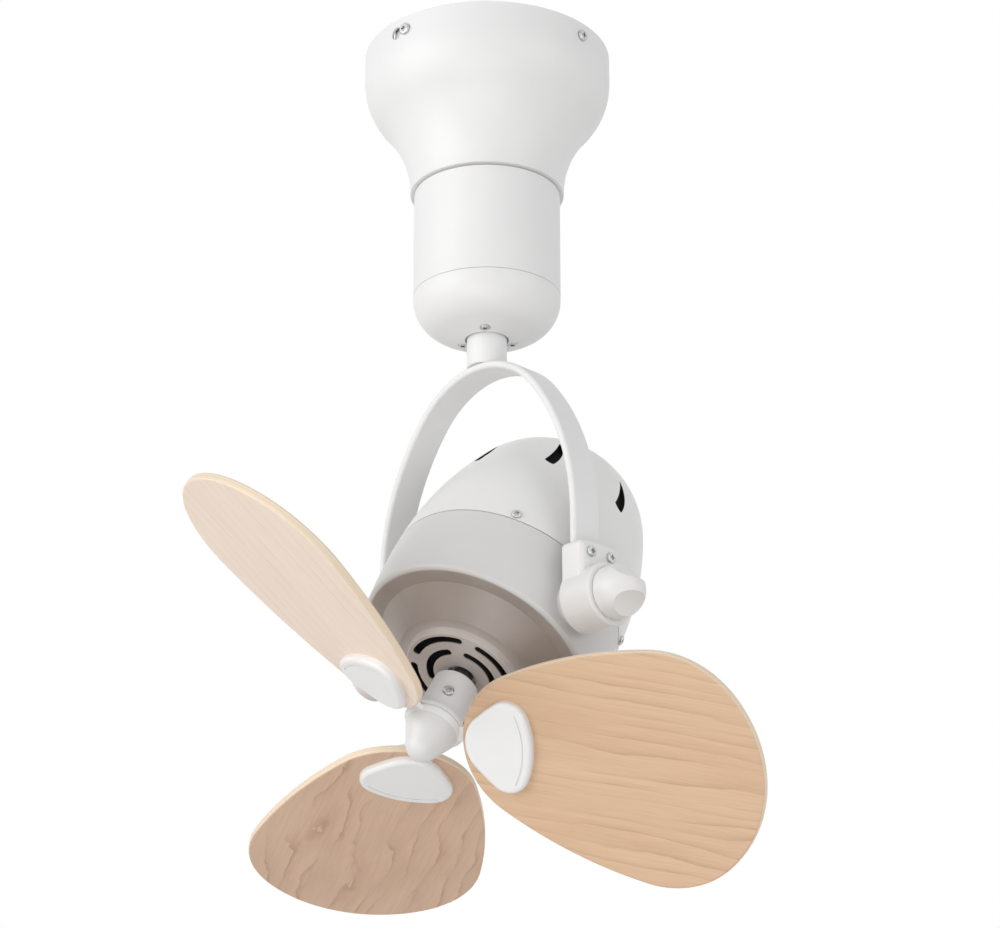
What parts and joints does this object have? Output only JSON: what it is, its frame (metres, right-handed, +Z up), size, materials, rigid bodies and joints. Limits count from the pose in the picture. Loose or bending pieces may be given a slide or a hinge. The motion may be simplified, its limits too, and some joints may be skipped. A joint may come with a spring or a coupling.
{
  "type": "ceiling pendant orbit fan",
  "caption": "Ceiling fan on a flared canopy: an orbit gearbox turns a yoke that carries a tilting egg-shaped motor pod with wooden paddle blades.",
  "frame": {"origin": "centre of the two ceiling screw slots, in the ceiling plane on the canopy's vertical axis", "axes": "+Z up into the ceiling, +X along the tilt axis towards the tilt knob, -Y the way the pod faces"},
  "size_m": [0.3656, 0.3213, 0.5351],
  "materials": {
    "white_paint": "satin white paint",
    "white_plastic": "satin white moulded plastic",
    "blade_wood": "light plywood with a satin varnish",
    "screw_steel": "zinc plated",
    "plain_steel": "ground steel",
    "core_steel": "stacked sheet",
    "cast_metal": "cast, bare",
    "copper": "enamelled copper",
    "bush_bronze": "sintered bronze",
    "gear_plastic": "natural acetal",
    "dark_plastic": "black moulding",
    "gasket_rubber": "black rubber"
  },
  "bodies": {
    "ceiling_unit": {"mounting_bracket": "plain_steel", "terminal_block": "dark_plastic", "canopy": "white_paint", "canopy_screws": "screw_steel", "neck_gasket": "gasket_rubber", "gearbox_housing": "white_paint", "housing_screws": "screw_steel", "orbit_motor": "dark_plastic", "orbit_motor_screws": "screw_steel", "bearing_plate": "cast_metal", "plate_screws": "screw_steel", "upper_bearing": "plain_steel", "lower_bearing": "plain_steel", "gearbox_cap": "white_paint", "cap_screws": "screw_steel", "brush_block": "dark_plastic"},
    "pinion": {"pinion_shaft": "plain_steel", "drive_pinion": "gear_plastic"},
    "yoke": {"stem": "white_paint", "driven_gear": "gear_plastic", "retaining_ring": "plain_steel", "slip_ring": "copper", "yoke_arch": "white_paint", "stem_screws": "screw_steel", "pivot_housing_right": "white_plastic", "pivot_housing_left": "white_plastic", "pivot_screws": "screw_steel", "pivot_bush_right": "bush_bronze", "pivot_bush_left": "bush_bronze", "left_pivot_cap": "white_plastic"},
    "knob": {"tilt_knob": "white_plastic", "knob_screw": "screw_steel"},
    "motor_head": {"upper_housing": "white_plastic", "vent_filter": "dark_plastic", "lower_housing": "white_plastic", "dust_shield": "dark_plastic", "pod_screws": "screw_steel", "trunnion_pin_right": "plain_steel", "trunnion_pin_left": "plain_steel", "stator_core": "core_steel", "stator_windings": "copper", "rear_bracket": "cast_metal", "rear_bearing": "plain_steel", "front_bearing": "plain_steel", "stator_bolts": "screw_steel", "driver_board": "dark_plastic"},
    "rotor": {"motor_shaft": "plain_steel", "rotor_core": "core_steel", "shaft_collar": "white_paint", "collar_screw": "screw_steel", "hub": "white_paint", "nose_cap": "white_plastic", "blade_1": "blade_wood", "blade_2": "blade_wood", "blade_3": "blade_wood", "blade_cover_1": "white_plastic", "blade_cover_2": "white_plastic", "blade_cover_3": "white_plastic", "blade_screws": "screw_steel"}
  },
  "joints": [
    {"name": "yoke_pan", "type": "hinge", "parent": "ceiling_unit", "child": "yoke", "pos_m": [0, 0, -0.15], "axis": [0, 0, 1], "continuous": true},
    {"name": "pinion_spin", "type": "hinge", "parent": "ceiling_unit", "child": "pinion", "pos_m": [0, 0.03255, -0.12], "axis": [0, 0, 1], "continuous": true},
    {"name": "head_tilt", "type": "hinge", "parent": "yoke", "child": "motor_head", "pos_m": [0, 0, -0.37484], "axis": [1, 0, 0], "range_deg": [-57.2, 32.8]},
    {"name": "rotor_spin", "type": "hinge", "parent": "motor_head", "child": "rotor", "pos_m": [0, 0, -0.37484], "axis": [0, -0.5417, -0.8406], "continuous": true},
    {"name": "knob_turn", "type": "hinge", "parent": "yoke", "child": "knob", "pos_m": [0.0993, 0, -0.37484], "axis": [1, 0, 0], "range_deg": [0, 270]}
  ],
  "couplings": [
    {"joint": "pinion_spin", "follows": "yoke_pan", "ratio": -3}
  ]
}
